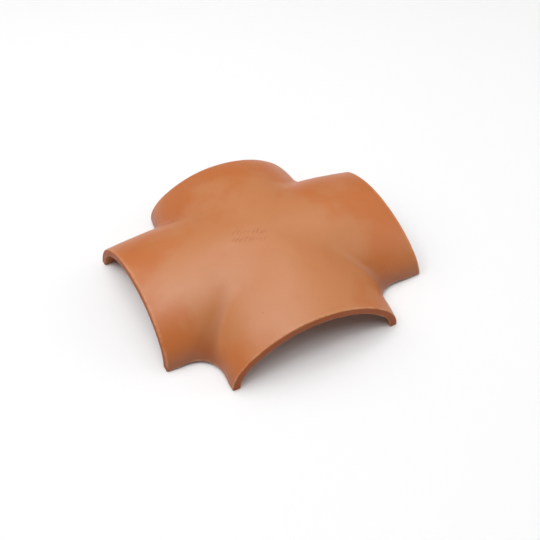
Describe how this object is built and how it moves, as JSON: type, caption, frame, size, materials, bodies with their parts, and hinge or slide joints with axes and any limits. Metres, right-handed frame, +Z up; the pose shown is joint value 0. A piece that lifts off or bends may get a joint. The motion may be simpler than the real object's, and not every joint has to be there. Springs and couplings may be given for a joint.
{
  "type": "roof apex tile",
  "caption": "Terracotta apex tile for a pyramid roof: barrel arms run down from a low crown to square-cut mouths that meet the ridge tiles.",
  "frame": {"origin": "middle of the tile's outer box, on the level that the feet stand on", "axes": "+Z up out of the crown, -Y towards the front arm, +X towards the right arm; the side arms run along X"},
  "size_m": [0.4254, 0.3552, 0.0944],
  "materials": {
    "terracotta": "matt fired clay, unglazed"
  },
  "bodies": {
    "root": {"apex_tile": "terracotta"}
  },
  "joints": []
}
